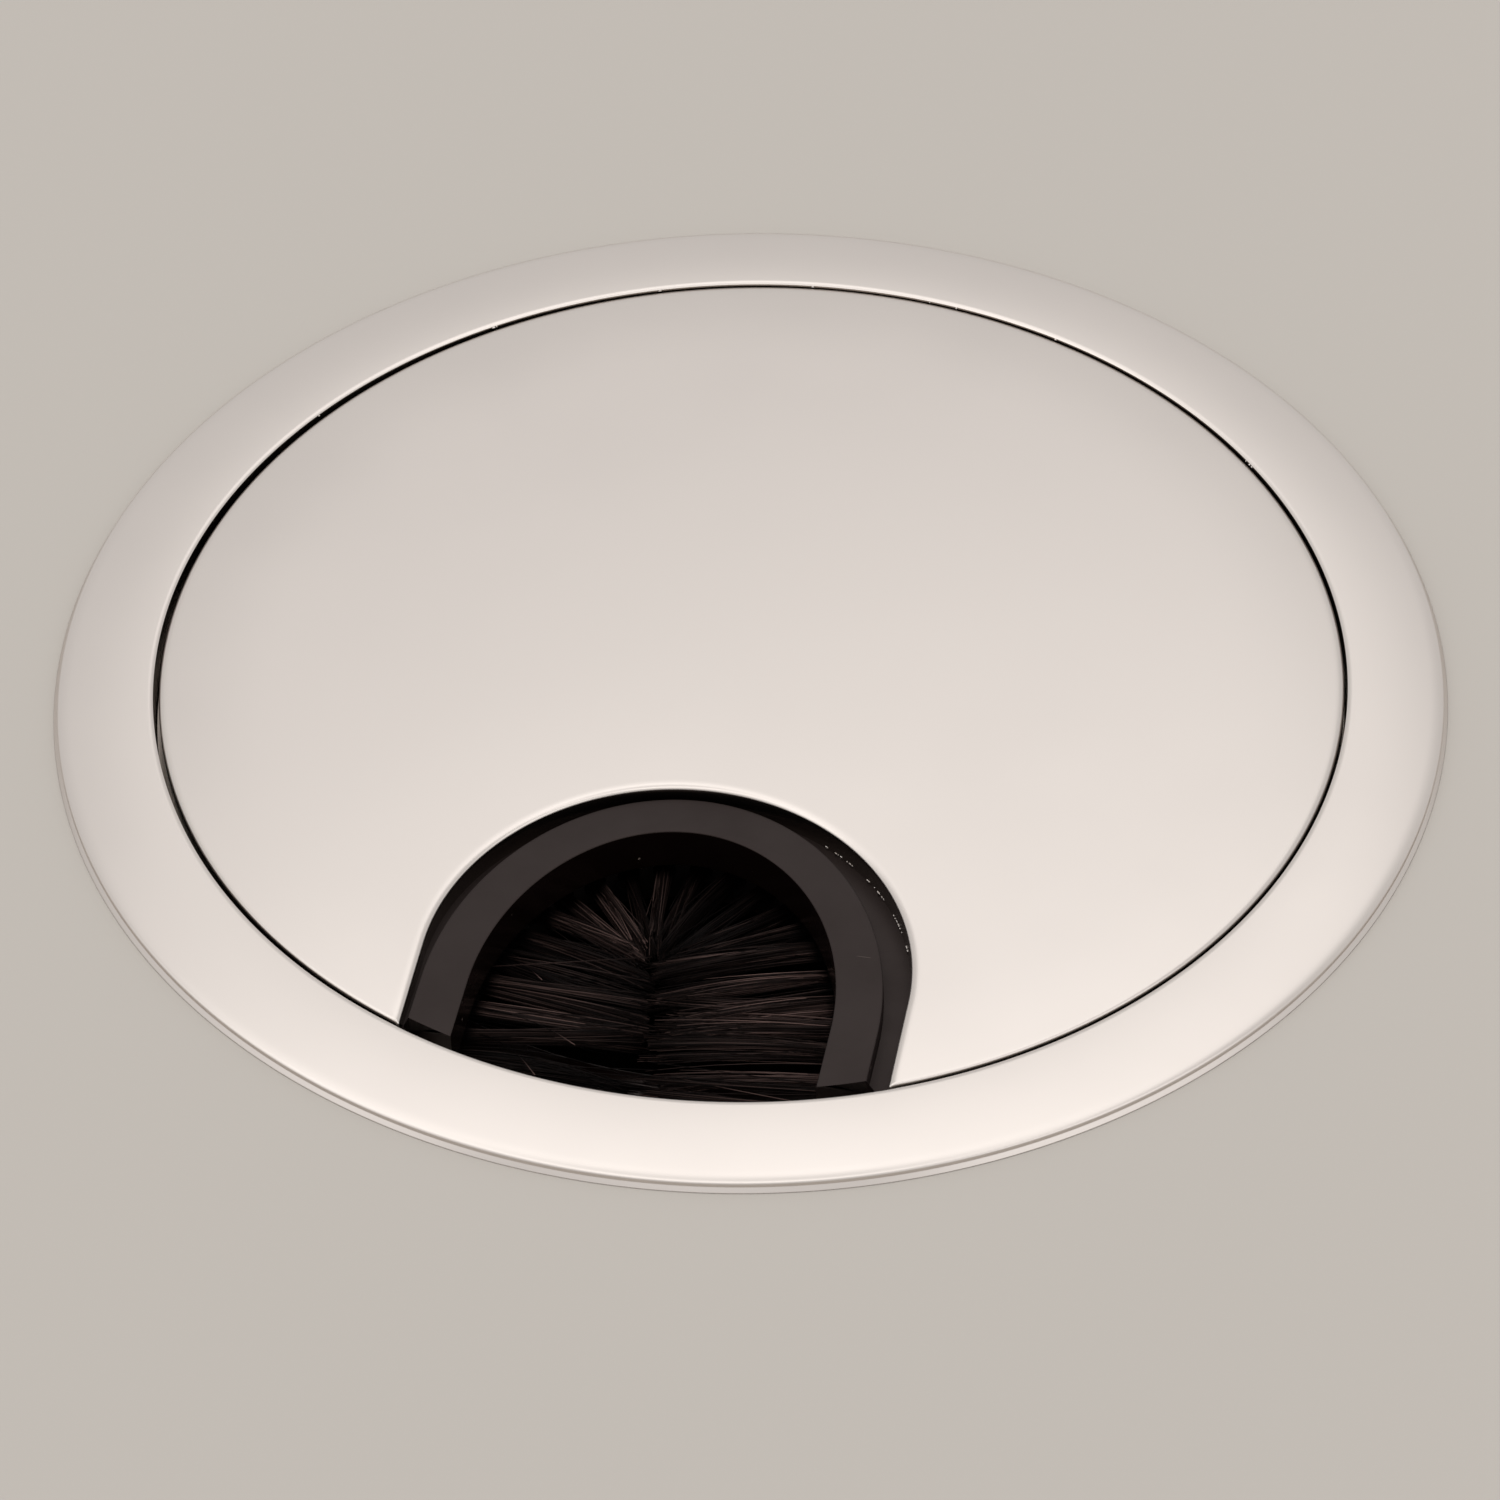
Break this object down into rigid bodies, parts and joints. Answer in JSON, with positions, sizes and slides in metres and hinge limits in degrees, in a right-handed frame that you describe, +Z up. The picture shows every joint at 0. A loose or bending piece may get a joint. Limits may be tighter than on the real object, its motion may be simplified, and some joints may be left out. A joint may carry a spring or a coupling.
{
  "type": "brush cable grommet",
  "caption": "Round metal desk grommet: a flanged barrel, a lid resting in it, and a U-shaped cable outlet closed by a black bristle brush.",
  "frame": {"origin": "centre of the barrel in the plane of the flange's underside, which is the desk's surface", "axes": "+Z up out of the desk along the barrel's axis, -Y from the centre towards the cable outlet"},
  "size_m": [0.089, 0.089, 0.0218],
  "materials": {
    "satin_metal": "satin nickel plate",
    "black_plastic": "fine matte",
    "nylon": "semi-gloss strands",
    "screw_steel": "zinc plated",
    "anchor_wire": "bare wire"
  },
  "bodies": {
    "root": {"desk_ring": "satin_metal", "lid": "satin_metal", "brush_carrier": "black_plastic", "brush_block": "black_plastic", "tuft_anchors": "anchor_wire", "bristle_tuft_01": "nylon", "bristle_tuft_02": "nylon", "bristle_tuft_03": "nylon", "bristle_tuft_04": "nylon", "bristle_tuft_05": "nylon", "bristle_tuft_06": "nylon", "bristle_tuft_07": "nylon", "bristle_tuft_08": "nylon", "bristle_tuft_09": "nylon", "bristle_tuft_10": "nylon", "bristle_tuft_11": "nylon", "bristle_tuft_12": "nylon", "bristle_tuft_13": "nylon", "bristle_tuft_14": "nylon", "bristle_tuft_15": "nylon", "bristle_tuft_16": "nylon", "bristle_tuft_17": "nylon", "bristle_tuft_18": "nylon", "bristle_tuft_19": "nylon", "bristle_tuft_20": "nylon", "bristle_tuft_21": "nylon", "bristle_tuft_22": "nylon", "bristle_tuft_23": "nylon", "clamp_screw_1": "screw_steel", "clamp_screw_2": "screw_steel", "clamp_screw_3": "screw_steel", "clamp_screw_4": "screw_steel"}
  },
  "joints": []
}
